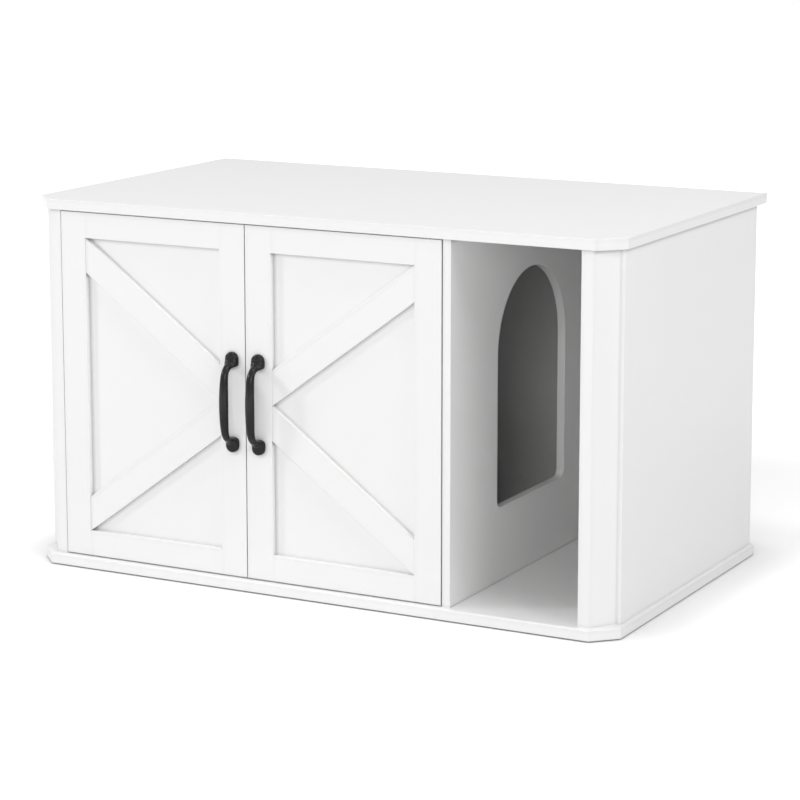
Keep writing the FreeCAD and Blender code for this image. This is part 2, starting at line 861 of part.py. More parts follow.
def magnetic_catch():
    # One housing under the top panel serves both doors, a magnet for each.
    start = "seam_middle + hand * magnet_offset - magnet_width / 2"
    magnets = []
    for name, hand in (("magnet_left", "-1"), ("magnet_right", "1")):
        magnets.append(
            box(
                name,
                (start.replace("hand", hand), "catch_front", "top_under - magnet_drop - magnet_height"),
                ("magnet_width", "magnet_depth", "magnet_height"),
            )
        )
    pair = doc.addObject("Part::Compound", "magnet_pair")
    pair.Links = magnets
    keep("catch_magnets", pair)
    housing = box(
        "catch_blank",
        ("seam_middle - catch_width / 2", "catch_front", "top_under - catch_drop"),
        ("catch_width", "catch_depth", "catch_drop"),
    )
    drilled("catch_housing", housing, pair, catch_holes)


# Doors


def door(name, hinge_edge, inward):
    # A framed door: a grooved stile and rail frame round a centre panel, two
    # braces on the panel, a handle, pivot pins and a strike plate. Distances
    # across it run from the hinge edge towards the free edge.
    def across(distance):
        return f"{hinge_edge} {inward} ({distance})"

    def span(first, last):
        # The lower end in X of a stretch of the door, and its width.
        low = first if inward == "+" else last
        return across(low), f"({last}) - ({first})"

    def stile(label, outer, towards, cutters):
        inner = f"{outer} {towards} stile_width"
        deep = f"{outer} {towards} (stile_width - groove_depth)"
        body = new_body(f"{name}_{label}_blank")
        sketch = sketch_on(body, "XY_Plane")
        polygon(
            sketch,
            [
                (across(outer), "door_front"),
                (across(inner), "door_front"),
                (across(inner), "panel_front"),
                (across(deep), "panel_front"),
                (across(deep), "panel_front + panel_thick"),
                (across(inner), "panel_front + panel_thick"),
                (across(inner), "door_back"),
                (across(outer), "door_back"),
            ],
        )
        bar = pad(body, sketch, "door_height")
        front = value("door_front")
        inside = value(across(inner))

        def rim(ends):
            in_front = all(near(end.y, front) for end in ends)
            return in_front and not all(near(end.x, inside) for end in ends)

        soften(body, bar, "Fillet", "Radius", "edge_round", rim)
        place(body, "0", "0", "door_under")
        drilled(f"{name}_{label}", body, *cutters)

    def rail(label, edge, towards):
        # The rail's section has a groove, and its tongues enter the stiles.
        inner = f"{edge} {towards} rail_width"
        deep = f"{edge} {towards} (rail_width - groove_depth)"
        body = new_body(f"{name}_{label}_blank")
        sketch = sketch_on(body, "YZ_Plane")
        polygon(
            sketch,
            [
                ("door_front", edge),
                ("door_front", inner),
                ("panel_front", inner),
                ("panel_front", deep),
                ("panel_front + panel_thick", deep),
                ("panel_front + panel_thick", inner),
                ("door_back", inner),
                ("door_back", edge),
            ],
        )
        bar = pad(body, sketch, "door_width - 2 * stile_width")
        front = value("door_front")
        outside = value(edge)

        def rim(ends):
            return all(near(end.y, front) and near(end.z, outside) for end in ends)

        soften(body, bar, "Fillet", "Radius", "edge_round", rim)
        start, width = span("stile_width", "door_width - stile_width")
        place(body, start, "0", "0")
        start, width = span("stile_width - tongue", "door_width - stile_width + tongue")
        low = edge if towards == "+" else deep
        tongues = box(
            f"{name}_{label}_tongues",
            (start, "panel_front", low),
            (width, "panel_thick", "rail_width - groove_depth"),
        )
        whole = doc.addObject("Part::MultiFuse", f"{name}_{label}")
        whole.Shapes = [body, tongues]
        keep(f"{name}_{label}", whole)

    def brace(label, corner, towards):
        # A parallelogram from a corner on the hinge side to the door's middle
        # on the free side, with both of its ends upright.
        body = new_body(f"{name}_{label}")
        sketch = sketch_on(body, "XZ_Plane")
        near_side = across("stile_width")
        far_side = across("door_width - stile_width")
        back = "-" if towards == "+" else "+"
        polygon(
            sketch,
            [
                (near_side, corner),
                (near_side, f"{corner} {towards} brace_cut"),
                (far_side, "door_middle"),
                (far_side, f"door_middle {back} brace_cut"),
            ],
        )
        pad(body, sketch, "brace_thick")
        place(body, "0", "panel_front", "0")
        keep(f"{name}_{label}", body)

    pivot = value(across("pivot_inset"))
    pin_spots = [
        spot(pivot, value("pivot_line"), value("door_under")),
        spot(pivot, value("pivot_line"), value("door_over"), UPSIDE_DOWN),
    ]
    keep(f"{name}_pivot_pins", copies(f"{name}_pivot_pins", pin, pin_spots))
    pin_holes = copies(f"{name}_pin_holes", pin_hole, pin_spots)

    handle_across = value(across("door_width - stile_width / 2"))
    reach = value("handle_length / 2 - foot_length / 2")
    screw_places = []
    for end in (-1, 1):
        up = value("door_middle") + end * reach
        screw_places.append(spot(handle_across, value("door_back"), up, FORWARD))
    keep(f"{name}_handle_screws", copies(f"{name}_handle_screws", handle_screw, screw_places))
    handle_holes = copies(f"{name}_handle_holes", handle_screw_hole, screw_places)

    start, width = span("door_width - strike_edge - strike_width", "door_width - strike_edge")
    plate = box(
        f"{name}_strike_blank",
        (start, "door_back", "door_over - strike_drop - strike_height"),
        (width, "strike_thick", "strike_height"),
    )
    strike_place = spot(
        value(across("door_width - strike_edge - strike_width / 2")),
        value("door_back + strike_thick"),
        value("door_over - strike_drop - strike_height + 2 * tack_head"),
        FORWARD,
    )
    keep(f"{name}_strike_screw", copies(f"{name}_strike_screw", strike_screw, [strike_place]))
    strike_hole = copies(f"{name}_strike_hole", strike_screw_hole, [strike_place])
    drilled(f"{name}_strike_plate", plate, strike_hole)

    stile("hinge_stile", "0", "+", [pin_holes])
    stile("meeting_stile", "door_width", "-", [handle_holes, strike_hole])
    rail("bottom_rail", "door_under", "+")
    rail("top_rail", "door_over", "-")

    start, width = span("stile_width - tongue", "door_width - stile_width + tongue")
    keep(
        f"{name}_centre_panel",
        box(
            f"{name}_centre_panel",
            (start, "panel_front", "door_under + rail_width - tongue"),
            (width, "panel_thick", "door_height - 2 * rail_width + 2 * tongue"),
        ),
    )
    brace("brace_lower", "door_under + rail_width", "+")
    brace("brace_upper", "door_over - rail_width", "-")
    handle(f"{name}_handle", handle_across, handle_holes)


WIDE_ARC_STEPS = 3
TIGHT_ARC_STEPS = 3
STEEPEST = math.radians(72)


def grip_stations():
    # Half of the grip's centre line, from its middle to the foot, as distance
    # along the handle, height over the door, and slope. A wide arc is followed
    # by a tight one, and then by a straight run into the foot.
    reach = value("grip_reach")
    bow = value("grip_bow")
    bend = value("neck_bend")
    entry = value("handle_length / 2 - foot_length + neck_entry")
    tail = value("foot_thick") / 2
    # The wide arc's radius comes from its rise, once its half length is known.
    half = entry - bend * math.sin(STEEPEST) - tail / math.tan(STEEPEST)
    radius = (half * half + bow * bow) / (2 * bow)
    turn = math.asin(half / radius)
    stations = []
    for step in range(WIDE_ARC_STEPS + 1):
        distance = half * step / WIDE_ARC_STEPS
        slope = math.asin(distance / radius)
        stations.append((distance, reach - radius * (1 - math.cos(slope)), slope))
    for step in range(1, TIGHT_ARC_STEPS + 1):
        slope = turn + (STEEPEST - turn) * step / TIGHT_ARC_STEPS
        distance = half + bend * (math.sin(slope) - math.sin(turn))
        height = reach - bow - bend * (math.cos(turn) - math.cos(slope))
        stations.append((distance, height, slope))
    distance, height, slope = stations[-1]
    stations.append((distance + (height - tail) / math.tan(slope), tail, slope))
    return stations


def handle(name, across, holes):
    # Grip: a loft through ellipses square to the centre line, widest in the
    # middle, narrowest at the neck, and flared again where it roots in the foot.
    upper_half = grip_stations()
    lower_half = [
        (-distance, height, -slope) for distance, height, slope in reversed(upper_half[1:])
    ]
    middle = len(lower_half)
    sections = []
    for number, (distance, height, slope) in enumerate(lower_half + upper_half):
        thinning = min(abs(number - middle) / (WIDE_ARC_STEPS + 1), 1) ** 2
        width = f"grip_width - (grip_width - neck_width) * {thinning}"
        if number in (0, 2 * middle):
            width = "root_width"
        ellipse = doc.addObject("Part::Ellipse", f"{name}_section_{number}")
        bind(
            ellipse,
            MajorRadius=f"({width}) / 2",
            MinorRadius=f"(grip_depth - (grip_depth - neck_depth) * {thinning}) / 2",
        )
        ellipse.Placement = FreeCAD.Placement(
            FreeCAD.Vector(across, value("door_front") - height, value("door_middle") + distance),
            FreeCAD.Rotation(FreeCAD.Vector(1, 0, 0), -math.degrees(slope)),
        )
        sections.append(ellipse)
    grip = doc.addObject("Part::Loft", f"{name}_grip")
    grip.Sections = sections
    grip.Solid = True

    feet = []
    for end, turn in (("upper", 0), ("lower", 180)):
        body = new_body(f"{name}_{end}_foot")
        sketch = sketch_on(body, "XZ_Plane")
        tombstone(
            sketch,
            "-foot_width / 2",
            "foot_width / 2",
            "handle_length / 2 - foot_length",
            "handle_length / 2 - foot_width / 2",
        )
        plate = pad(body, sketch, "foot_thick")
        low = value("handle_length / 2 - foot_length")

        def inner_corner(ends):
            return all(near(end.z, low) for end in ends) and near(ends[0].x, ends[1].x)

        cornered = soften(body, plate, "Fillet", "Radius", "2 * foot_round", inner_corner)
        front = -value("foot_thick")
        soften(
            body, cornered, "Fillet", "Radius", "foot_round",
            lambda ends: all(near(end.y, front) for end in ends),
        )
        body.Placement = FreeCAD.Placement(
            FreeCAD.Vector(across, value("door_front"), value("door_middle")),
            FreeCAD.Rotation(FreeCAD.Vector(0, 1, 0), turn),
        )
        feet.append(body)
    pull = doc.addObject("Part::MultiFuse", f"{name}_pull")
    pull.Shapes = [grip] + feet
    doc.recompute()
    drilled(name, pull, holes)


top_panel()
base_panel()
side_panel("side_panel_left", "-")
side_panel("side_panel_right", "")
corner_post("corner_post_left", "-")
corner_post("corner_post_right", "")
divider_panel()
back_panels()
magnetic_catch()
door("door_left", "doors_left", "+")
door("door_right", "doors_right", "-")
doc.recompute()

for item in doc.Objects:
    if "Invalid" in item.State or "Error" in item.State:
        raise RuntimeError(item.Label + " failed: " + ", ".join(item.State))
for name, item in nodes.items():
    if item.Shape.isNull() or not item.Shape.isValid():
        raise RuntimeError(name + " has no sound shape")
for name, item in nodes.items():
    item.Shape.exportStep(f"parts/{name}.step")
print(len(nodes), "sub-parts,", sum(len(item.Shape.Solids) for item in nodes.values()), "solids")
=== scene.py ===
import json
import math

import bpy
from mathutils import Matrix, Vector


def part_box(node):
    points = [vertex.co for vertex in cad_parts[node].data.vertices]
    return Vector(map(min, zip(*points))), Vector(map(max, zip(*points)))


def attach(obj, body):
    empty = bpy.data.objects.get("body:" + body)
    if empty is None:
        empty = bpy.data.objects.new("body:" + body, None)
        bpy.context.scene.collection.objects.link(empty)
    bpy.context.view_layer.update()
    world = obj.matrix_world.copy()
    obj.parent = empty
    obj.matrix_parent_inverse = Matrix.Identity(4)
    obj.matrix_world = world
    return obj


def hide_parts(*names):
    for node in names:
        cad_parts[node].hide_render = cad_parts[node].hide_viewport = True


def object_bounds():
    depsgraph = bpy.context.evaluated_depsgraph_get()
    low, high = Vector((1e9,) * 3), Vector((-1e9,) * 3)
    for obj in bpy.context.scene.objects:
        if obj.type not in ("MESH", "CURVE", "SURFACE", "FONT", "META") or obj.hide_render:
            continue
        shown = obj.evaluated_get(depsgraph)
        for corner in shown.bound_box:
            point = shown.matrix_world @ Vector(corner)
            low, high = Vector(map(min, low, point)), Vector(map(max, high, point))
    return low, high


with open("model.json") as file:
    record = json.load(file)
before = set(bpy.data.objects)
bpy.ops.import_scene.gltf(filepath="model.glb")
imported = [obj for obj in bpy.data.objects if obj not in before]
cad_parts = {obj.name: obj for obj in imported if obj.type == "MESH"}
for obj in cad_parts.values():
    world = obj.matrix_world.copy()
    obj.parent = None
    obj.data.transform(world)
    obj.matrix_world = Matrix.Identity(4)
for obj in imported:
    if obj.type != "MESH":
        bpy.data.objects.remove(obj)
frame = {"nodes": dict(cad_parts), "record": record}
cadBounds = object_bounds()
print("frame loaded with", len(frame["nodes"]), "pieces")

mm = 0.001
nodes = frame["nodes"]
slotOf = {row["node"]: row["material_slot"] for row in frame["record"]["subparts"]}
bodyOf = {node: body for body, members in frame["record"]["behaviour"]["bodies"].items() for node in members}


# Shader groups, shared by the finishes. Noise follows Object coordinates.

def startGroup(name, inputs, outputs):
    group = bpy.data.node_groups.new(name, "ShaderNodeTree")
    for label, kind, start in inputs:
        socket = group.interface.new_socket(label, in_out="INPUT", socket_type="NodeSocket" + kind)
        socket.default_value = start
    for label, kind in outputs:
        group.interface.new_socket(label, in_out="OUTPUT", socket_type="NodeSocket" + kind)
    return group, group.nodes.new("NodeGroupInput"), group.nodes.new("NodeGroupOutput")


def addNode(tree, kind, **settings):
    # Settings are the node's own properties, in the node's own words.
    node = tree.nodes.new("ShaderNode" + kind)
    for label, choice in settings.items():
        setattr(node, label, choice)
    return node


def mathNode(tree, operation, first, second):
    # Each of the two values is a socket or a plain number.
    node = addNode(tree, "Math", operation=operation)
    for slot, given in zip(node.inputs, (first, second)):
        if isinstance(given, (int, float)):
            slot.default_value = given
        else:
            tree.links.new(given, slot)
    return node.outputs[0]


def noiseNode(tree, place, scale, detail):
    noise = addNode(tree, "TexNoise")
    noise.inputs["Detail"].default_value = detail
    tree.links.new(place, noise.inputs["Vector"])
    if isinstance(scale, (int, float)):
        noise.inputs["Scale"].default_value = scale
    else:
        tree.links.new(scale, noise.inputs["Scale"])
    return noise.outputs["Fac"]


def driftGroup():
    # Slow cloudy change between two tones.
    group, given, out = startGroup(
        "toneDrift",
        [("Tone", "Color", (0.8, 0.8, 0.8, 1)), ("Shade", "Color", (0.7, 0.7, 0.7, 1)),
         ("Patches", "Float", 6.0), ("Amount", "Float", 0.5)],
        [("Color", "Color"), ("Mask", "Float")],
    )
    place = addNode(group, "TexCoord").outputs["Object"]
    cloud = noiseNode(group, place, given.outputs["Patches"], 4)
    mask = mathNode(group, "MULTIPLY", cloud, given.outputs["Amount"])
    mix = addNode(group, "Mix", data_type="RGBA")
    group.links.new(mask, mix.inputs["Factor"])
    group.links.new(given.outputs["Tone"], mix.inputs["A"])
    group.links.new(given.outputs["Shade"], mix.inputs["B"])
    group.links.new(mix.outputs["Result"], out.inputs["Color"])
    group.links.new(cloud, out.inputs["Mask"])
    return group


def skinGroup():
    # Fine skin of a sprayed, cast or moulded surface: height for the bump, and
    # a roughness that changes a little with it.
    group, given, out = startGroup(
        "fineSkin",
        [("Grains", "Float", 700.0), ("Roughness", "Float", 0.4), ("Spread", "Float", 0.1)],
        [("Height", "Float"), ("Roughness", "Float")],
    )
    place = addNode(group, "TexCoord").outputs["Object"]
    grain = noiseNode(group, place, given.outputs["Grains"], 2)
    broad = mathNode(group, "MULTIPLY", given.outputs["Grains"], 0.02)
    cloud = noiseNode(group, place, broad, 3)
    centred = mathNode(group, "SUBTRACT", cloud, 0.5)
    change = mathNode(group, "MULTIPLY", centred, given.outputs["Spread"])
    group.links.new(grain, out.inputs["Height"])
    group.links.new(mathNode(group, "ADD", given.outputs["Roughness"], change), out.inputs["Roughness"])
    return group


edgeBreaks = {"scale": 180, "detail": 3}


def edgeGroup():
    # Mask that is bright along outer edges, where a finish is rubbed thin.
    group, given, out = startGroup(
        "rubbedEdge",
        [("Reach", "Float", 0.001), ("Gain", "Float", 4.0)],
        [("Mask", "Float")],
    )
    rounded = addNode(group, "Bevel", samples=4)
    group.links.new(given.outputs["Reach"], rounded.inputs["Radius"])
    face = addNode(group, "NewGeometry").outputs["Normal"]
    facing = addNode(group, "VectorMath", operation="DOT_PRODUCT")
    group.links.new(rounded.outputs["Normal"], facing.inputs[0])
    group.links.new(face, facing.inputs[1])
    turned = mathNode(group, "SUBTRACT", 1.0, facing.outputs["Value"])
    gained = mathNode(group, "MULTIPLY", turned, given.outputs["Gain"])
    place = addNode(group, "TexCoord").outputs["Object"]
    breaks = noiseNode(group, place, edgeBreaks["scale"], edgeBreaks["detail"])
    broken = mathNode(group, "MULTIPLY", gained, breaks)
    group.links.new(mathNode(group, "MINIMUM", broken, 1.0), out.inputs["Mask"])
    return group


def fibreGroup():
    # Long fibres along one axis: streaks for colour and height.
    group, given, out = startGroup(
        "longFibres",
        [("Stretch", "Vector", (1.0, 1.0, 1.0)), ("Tone", "Color", (0.6, 0.5, 0.3, 1)),
         ("Shade", "Color", (0.5, 0.4, 0.2, 1)), ("Fibres", "Float", 900.0)],
        [("Color", "Color"), ("Height", "Float")],
    )
    place = addNode(group, "TexCoord").outputs["Object"]
    stretched = addNode(group, "VectorMath", operation="MULTIPLY")
    group.links.new(place, stretched.inputs[0])
    group.links.new(given.outputs["Stretch"], stretched.inputs[1])
    streak = noiseNode(group, stretched.outputs["Vector"], given.outputs["Fibres"], 5)
    mix = addNode(group, "Mix", data_type="RGBA")
    group.links.new(streak, mix.inputs["Factor"])
    group.links.new(given.outputs["Tone"], mix.inputs["A"])
    group.links.new(given.outputs["Shade"], mix.inputs["B"])
    group.links.new(mix.outputs["Result"], out.inputs["Color"])
    group.links.new(streak, out.inputs["Height"])
    return group


# Painted shade: finishes are darkened in inner corners, recesses and gaps, standing
# in for the shade there. The light comes from above and from the left, so the painted
# shade is weaker beside an edge that faces that way, and weaker still on a level ledge.
corners = {
    "reach": 6 * mm, "sharpness": 1.3, "amount": 0.72, "share": 0.12,
    "lean": (-0.45, 0, 0.45), "ledgeRelief": 0.7,
}


def paintedShadeGroup():
    # Mask of painted shade: bright in inner corners and narrow gaps, where shade gathers.
    group, given, out = startGroup(
        "paintedShadeMask",
        [("Reach", "Float", 0.005), ("Sharpness", "Float", 1.5), ("Amount", "Float", 1.0)],
        [("Mask", "Float")],
    )
    leaned = addNode(group, "VectorMath", operation="ADD")
    leaned.inputs[1].default_value = corners["lean"]
    group.links.new(addNode(group, "NewGeometry").outputs["Normal"], leaned.inputs[0])
    towardLight = addNode(group, "VectorMath", operation="NORMALIZE")
    group.links.new(leaned.outputs["Vector"], towardLight.inputs[0])
    unshaded = addNode(group, "AmbientOcclusion", samples=6)
    group.links.new(towardLight.outputs["Vector"], unshaded.inputs["Normal"])
    group.links.new(given.outputs["Reach"], unshaded.inputs["Distance"])
    closed = mathNode(group, "SUBTRACT", 1.0, unshaded.outputs["AO"])
    drawnIn = mathNode(group, "POWER", closed, given.outputs["Sharpness"])
    facing = addNode(group, "SeparateXYZ")
    group.links.new(addNode(group, "TexCoord").outputs["Normal"], facing.inputs[0])
    upward = mathNode(group, "MAXIMUM", facing.outputs["Z"], 0.0)
    relief = mathNode(group, "MULTIPLY", upward, corners["ledgeRelief"])
    unlit = mathNode(group, "SUBTRACT", 1.0, relief)
    held = mathNode(group, "MULTIPLY", drawnIn, unlit)
    group.links.new(mathNode(group, "MULTIPLY", held, given.outputs["Amount"]), out.inputs["Mask"])
    return group


toneDrift = driftGroup()
fineSkin = skinGroup()
rubbedEdge = edgeGroup()
longFibres = fibreGroup()
paintedShadeMask = paintedShadeGroup()


# Finishes: one material for each of the cabinet's material slots.

def startMaterial(name):
    material = bpy.data.materials.new(name)
    material.use_nodes = True
    tree = material.node_tree
    return material, tree, tree.nodes["Principled BSDF"]


def placeGroup(tree, group, **values):
    node = addNode(tree, "Group", node_tree=group)
    for label, given in values.items():
        node.inputs[label].default_value = given
    return node


def addBump(tree, shader, height, depth, strength):
    bump = addNode(tree, "Bump")
    bump.inputs["Distance"].default_value = depth
    bump.inputs["Strength"].default_value = strength
    tree.links.new(height, bump.inputs["Height"])
    tree.links.new(bump.outputs["Normal"], shader.inputs["Normal"])


def paintCornerShade(tree, color, tone):
    # Painted shade: the finish's tone, much darker, mixed into the colour in the corners and along the gaps.
    corner = placeGroup(
        tree, paintedShadeMask, Reach=corners["reach"],
        Sharpness=corners["sharpness"], Amount=corners["amount"],
    )
    mix = addNode(tree, "Mix", data_type="RGBA")
    mix.inputs["B"].default_value = [part * corners["share"] for part in tone[:3]] + [1]
    tree.links.new(corner.outputs["Mask"], mix.inputs["Factor"])
    tree.links.new(color, mix.inputs["A"])
    return mix.outputs["Result"]


def sprayedFinish(name, look):
    # Drifting tone, fine skin and thin edges: paint, lacquer, plastic, casting.
    material, tree, shader = startMaterial(name)
    drift = placeGroup(
        tree, toneDrift, Tone=look["tone"], Shade=look["shade"],
        Patches=look["patches"], Amount=look["drift"],
    )
    skin = placeGroup(
        tree, fineSkin, Grains=look["grains"], Roughness=look["rough"], Spread=look["spread"],
    )
    edge = placeGroup(tree, rubbedEdge, Reach=look["edgeReach"], Gain=look["edgeGain"])
    mix = addNode(tree, "Mix", data_type="RGBA")
    mix.inputs["B"].default_value = look["edgeTone"]
    tree.links.new(edge.outputs["Mask"], mix.inputs["Factor"])
    tree.links.new(drift.outputs["Color"], mix.inputs["A"])
    # Painted shade in the corners and gaps darkens the base colour.
    shaded = paintCornerShade(tree, mix.outputs["Result"], look["tone"])
    tree.links.new(shaded, shader.inputs["Base Color"])
    tree.links.new(skin.outputs["Roughness"], shader.inputs["Roughness"])
    addBump(tree, shader, skin.outputs["Height"], look["skinDepth"], look["skinStrength"])
    shader.inputs["Metallic"].default_value = look.get("metallic", 0)
    shader.inputs["Specular IOR Level"].default_value = look.get("specular", 0.5)
    return material


whiteBoard = {
    "tone": (0.925, 0.925, 0.922, 1), "shade": (0.9, 0.9, 0.898, 1),
    "patches": 5, "drift": 0.6, "grains": 650, "rough": 0.42, "spread": 0.08,
    "edgeReach": 0.8 * mm, "edgeGain": 0.6, "edgeTone": (0.945, 0.945, 0.943, 1),
    "skinDepth": 0.04 * mm, "skinStrength": 0.35,
}
doorPaint = {
    "tone": (0.925, 0.925, 0.922, 1), "shade": (0.9, 0.9, 0.898, 1),
    "patches": 7, "drift": 0.6, "grains": 520, "rough": 0.38, "spread": 0.1,
    "edgeReach": 0.8 * mm, "edgeGain": 0.6, "edgeTone": (0.945, 0.945, 0.943, 1),
    "skinDepth": 0.05 * mm, "skinStrength": 0.4,
}
blackIron = {
    "tone": (0.009, 0.009, 0.0094, 1), "shade": (0.014, 0.014, 0.0144, 1),
    "patches": 60, "drift": 0.8, "grains": 700, "rough": 0.17, "spread": 0.06,
    "edgeReach": 1.2 * mm, "edgeGain": 0.5, "edgeTone": (0.04, 0.04, 0.041, 1),
    "skinDepth": 0.05 * mm, "skinStrength": 0.15, "specular": 0.24,
}
zincPlate = {
    "tone": (0.62, 0.63, 0.65, 1), "shade": (0.5, 0.52, 0.56, 1),
    "patches": 220, "drift": 0.9, "grains": 2400, "rough": 0.3, "spread": 0.2,
    "edgeReach": 0.3 * mm, "edgeGain": 1.5, "edgeTone": (0.8, 0.8, 0.81, 1),
    "skinDepth": 0.03 * mm, "skinStrength": 0.4, "metallic": 1,
}
zincCasting = {
    "tone": (0.5, 0.51, 0.53, 1), "shade": (0.4, 0.41, 0.43, 1),
    "patches": 160, "drift": 0.9, "grains": 1500, "rough": 0.46, "spread": 0.2,
    "edgeReach": 0.4 * mm, "edgeGain": 1.2, "edgeTone": (0.66, 0.66, 0.68, 1),
    "skinDepth": 0.08 * mm, "skinStrength": 0.6, "metallic": 1,
}
whitePlastic = {
    "tone": (0.82, 0.82, 0.81, 1), "shade": (0.79, 0.79, 0.775, 1),
    "patches": 40, "drift": 0.7, "grains": 1800, "rough": 0.36, "spread": 0.1,
    "edgeReach": 0.4 * mm, "edgeGain": 0.5, "edgeTone": (0.87, 0.87, 0.86, 1),
    "skinDepth": 0.05 * mm, "skinStrength": 0.4,
}
sinteredMagnet = {
    "tone": (0.11, 0.11, 0.12, 1), "shade": (0.07, 0.07, 0.075, 1),
    "patches": 300, "drift": 0.9, "grains": 3000, "rough": 0.42, "spread": 0.2,
    "edgeReach": 0.3 * mm, "edgeGain": 1.5, "edgeTone": (0.24, 0.24, 0.25, 1),
    "skinDepth": 0.06 * mm, "skinStrength": 0.5, "metallic": 0.6,
}
beechWood = {
    "tone": (0.64, 0.45, 0.27, 1), "shade": (0.5, 0.33, 0.18, 1),
    "fibres": 900, "stretch": (1, 1, 0.05), "rough": 0.62,
    "depth": 0.15 * mm, "strength": 0.6,
}
hardboard = {
    "tone": (0.85, 0.85, 0.84, 1), "shade": (0.82, 0.82, 0.808, 1),
    "core": (0.42, 0.3, 0.19, 1), "coreShade": (0.3, 0.2, 0.12, 1),
    "patches": 9, "drift": 0.7, "grains": 380, "rough": 0.58, "spread": 0.12,
    "depth": 0.06 * mm, "strength": 0.45, "fibres": 700, "edgeStart": 0.5,
}


def fluteWood(name, look):
    material, tree, shader = startMaterial(name)
    grain = placeGroup(
        tree, longFibres, Stretch=look["stretch"], Tone=look["tone"],
        Shade=look["shade"], Fibres=look["fibres"],
    )
    tree.links.new(grain.outputs["Color"], shader.inputs["Base Color"])
    shader.inputs["Roughness"].default_value = look["rough"]
    addBump(tree, shader, grain.outputs["Height"], look["depth"], look["strength"])
    return material


def facedHardboard(name, look):
    # White film on both faces, and the bare brown core along the cut edges.
    material, tree, shader = startMaterial(name)
    film = placeGroup(
        tree, toneDrift, Tone=look["tone"], Shade=look["shade"],
        Patches=look["patches"], Amount=look["drift"],
    )
    core = placeGroup(
        tree, longFibres, Stretch=(1, 1, 1), Tone=look["core"],
        Shade=look["coreShade"], Fibres=look["fibres"],
    )
    skin = placeGroup(
        tree, fineSkin, Grains=look["grains"], Roughness=look["rough"], Spread=look["spread"],
    )
    facing = addNode(tree, "SeparateXYZ")
    tree.links.new(addNode(tree, "TexCoord").outputs["Normal"], facing.inputs[0])
    along = mathNode(tree, "ABSOLUTE", facing.outputs["Y"], 0)
    onEdge = mathNode(tree, "LESS_THAN", along, look["edgeStart"])
    mix = addNode(tree, "Mix", data_type="RGBA")
    tree.links.new(onEdge, mix.inputs["Factor"])
    tree.links.new(film.outputs["Color"], mix.inputs["A"])
    tree.links.new(core.outputs["Color"], mix.inputs["B"])
    # Painted shade in the corners and gaps darkens the base colour.
    shaded = paintCornerShade(tree, mix.outputs["Result"], look["tone"])
    tree.links.new(shaded, shader.inputs["Base Color"])
    tree.links.new(skin.outputs["Roughness"], shader.inputs["Roughness"])
    addBump(tree, shader, skin.outputs["Height"], look["depth"], look["strength"])
    return material


finishes = {
    "white_board": sprayedFinish("lacqueredBoard", whiteBoard),
    "door_paint": sprayedFinish("doorPaint", doorPaint),
    "black_iron": sprayedFinish("blackCoatedIron", blackIron),
    "zinc_plated_steel": sprayedFinish("zincPlatedSteel", zincPlate),
    "zinc_casting": sprayedFinish("zincCasting", zincCasting),
    "white_plastic": sprayedFinish("whitePlastic", whitePlastic),
    "magnet": sprayedFinish("sinteredMagnet", sinteredMagnet),
    "beech": fluteWood("beech", beechWood),
    "white_hardboard": facedHardboard("facedHardboard", hardboard),
}
for node, piece in nodes.items():
    for slot in piece.material_slots:
        slot.material = finishes[slotOf[node]]
    if not piece.material_slots:
        piece.data.materials.append(finishes[slotOf[node]])
print("finishes made:", len(finishes))


# Modelling helpers.

def alone(piece):
    bpy.ops.object.select_all(action="DESELECT")
    piece.select_set(True)
    bpy.context.view_layer.objects.active = piece


def choose(piece, kind, wanted):
    # Leaves the piece in edit mode with the wanted faces, edges or corners picked.
    if piece.mode == "EDIT":
        bpy.ops.mesh.select_all(action="DESELECT")
        bpy.ops.mesh.select_mode(type=kind)
        bpy.ops.object.mode_set(mode="OBJECT")
    else:
        alone(piece)
    mesh = piece.data
    for parts in (mesh.vertices, mesh.edges, mesh.polygons):
        parts.foreach_set("select", [False] * len(parts))
    parts = {"VERT": mesh.vertices, "EDGE": mesh.edges, "FACE": mesh.polygons}[kind]
    for part in parts:
        part.select = wanted(part)
    bpy.ops.object.mode_set(mode="EDIT")
    bpy.ops.mesh.select_mode(type=kind)


def leaveEdit(piece):
    bpy.ops.object.mode_set(mode="OBJECT")
    alone(piece)


def addModifier(piece, kind, **settings):
    modifier = piece.modifiers.new(kind.lower(), kind)
    for label, given in settings.items():
        setattr(modifier, label, given)
    alone(piece)
    bpy.ops.object.modifier_apply(modifier=modifier.name)


def settle(piece, node, smoothAngle=35, flatFaces=True):
    # The finished piece stands for the node, with its body and its finish.
    piece.name = node + "_finished"
    alone(piece)
    bpy.ops.object.transform_apply(location=True, rotation=True, scale=True)
    bpy.ops.object.shade_smooth_by_angle(angle=math.radians(smoothAngle))
    if flatFaces:  # wide faces stay flat beside their rounded edges
        addModifier(piece, "WEIGHTED_NORMAL", keep_sharp=True, weight=100)
    piece.data.materials.clear()
    piece.data.materials.append(finishes[slotOf[node]])
    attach(piece, bodyOf[node])
    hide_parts(node)


# Pull handles: box modelled from the foot along the neck to the grip's middle,
# mirrored, and smoothed. Distances are in millimetres from the handle's middle.

handle = {
    "footWidth": 20, "footLength": 22, "footThick": 7, "rootLength": 9.5,
    "endRound": 9.7, "endSteps": 5, "rimRound": 1.3,
    # Along the handle, out from the door, width, depth, turn in degrees.
    "rings": [
        (51.6, 10.0, 14.4, 9.0, 6),
        (49.8, 14.0, 11.8, 9.0, 22),
        (46.4, 18.2, 11.4, 8.9, 46),
        (41.0, 21.0, 11.8, 9.2, 68),
        (32.0, 22.6, 12.9, 10.0, 80),
        (16.0, 23.7, 14.3, 11.1, 86),
        (0.0, 24.0, 14.7, 11.4, 90),
    ],
    "smoothing": 3, "smoothAngle": 60, "gripSpan": 17, "cornerCrease": 0.75,
}


